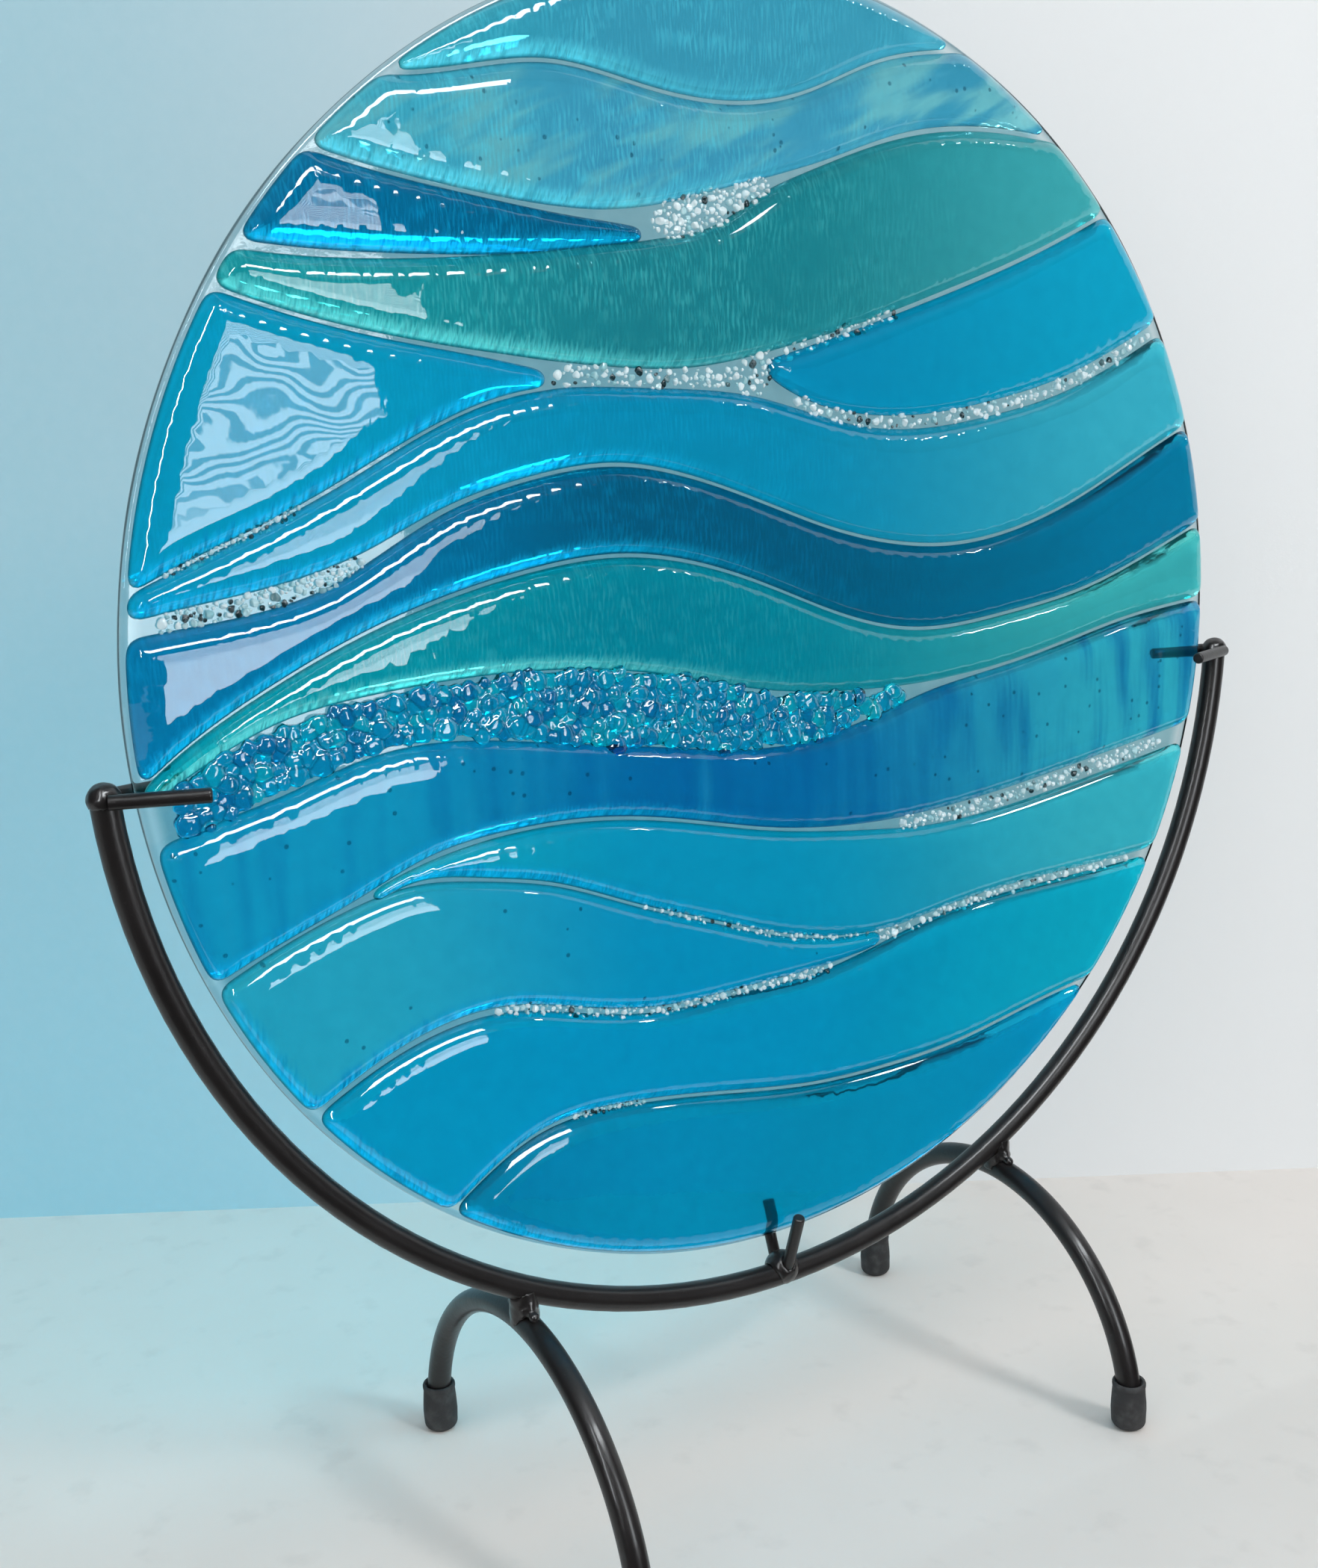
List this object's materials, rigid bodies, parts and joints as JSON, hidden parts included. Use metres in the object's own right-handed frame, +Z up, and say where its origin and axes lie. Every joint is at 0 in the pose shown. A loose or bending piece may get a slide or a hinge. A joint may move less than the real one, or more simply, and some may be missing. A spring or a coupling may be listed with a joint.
{
  "type": "fused glass wave sculpture",
  "caption": "Round fused glass disc of blue and teal wave strips on a clear base, standing on edge between clip prongs in a black welded rod cradle with arched legs and rubber foot caps.",
  "frame": {"origin": "on the floor, midway between the four feet", "axes": "+Z up, -Y towards the viewer of the coloured face, +X to that viewer's right"},
  "size_m": [0.3172, 0.1118, 0.3545],
  "materials": {
    "painted_rod": "black satin paint",
    "painted_weld": "black satin paint over weld metal",
    "foot_rubber": "matt moulded",
    "clear_glass": "fire polished",
    "sky_glass": "fire polished, pale wisps",
    "deep_blue_glass": "fire polished",
    "teal_glass": "fire polished, rippled",
    "ocean_glass": "fire polished, rippled",
    "azure_glass": "fire polished",
    "turquoise_glass": "fire polished, rippled",
    "streaky_glass": "fire polished, streaky",
    "pale_glass": "fire polished",
    "blue_frit": "rounded coarse grains",
    "clear_frit": "rounded grains, some dark",
    "dark_frit": "rounded dark grains"
  },
  "bodies": {
    "stand": {"left_arch_leg": "painted_rod", "left_leg_weld": "painted_weld", "left_front_foot_cap": "foot_rubber", "left_back_foot_cap": "foot_rubber", "right_arch_leg": "painted_rod", "right_leg_weld": "painted_weld", "right_front_foot_cap": "foot_rubber", "right_back_foot_cap": "foot_rubber", "cradle_ring": "painted_rod", "left_clip_front_prong": "painted_rod", "left_clip_back_prong": "painted_rod", "left_clip_weld": "painted_weld", "right_clip_front_prong": "painted_rod", "right_clip_back_prong": "painted_rod", "right_clip_weld": "painted_weld", "bottom_clip_front_prong": "painted_rod", "bottom_clip_back_prong": "painted_rod", "bottom_clip_weld": "painted_weld"},
    "glass": {"clear_base_disc": "clear_glass", "sky_cap": "sky_glass", "streaky_crest": "sky_glass", "deep_blue_taper": "deep_blue_glass", "upper_teal_wave": "teal_glass", "left_blue_sail": "ocean_glass", "right_blue_wave": "azure_glass", "long_turquoise_wave": "turquoise_glass", "navy_wave": "deep_blue_glass", "lower_teal_wave": "teal_glass", "streaky_blue_wave": "streaky_glass", "pale_blue_wedge": "pale_glass", "lens_blue_wave": "ocean_glass", "bright_blue_wave": "azure_glass", "seabed_cap": "ocean_glass", "crest_clear_frit": "clear_frit", "teal_seam_clear_frit": "clear_frit", "right_seam_clear_frit": "clear_frit", "sail_seam_dark_chips": "dark_frit", "left_wedge_dark_chips": "dark_frit", "blue_chunk_frit": "blue_frit", "wedge_seam_clear_frit": "clear_frit", "lens_top_clear_frit": "clear_frit", "lens_bottom_clear_frit": "clear_frit", "seabed_dark_chips": "dark_frit"}
  },
  "joints": [
    {"name": "glass_lift", "type": "slide", "parent": "stand", "child": "glass", "axis": [0, 0, 1], "range_m": [0, 0.06]}
  ]
}
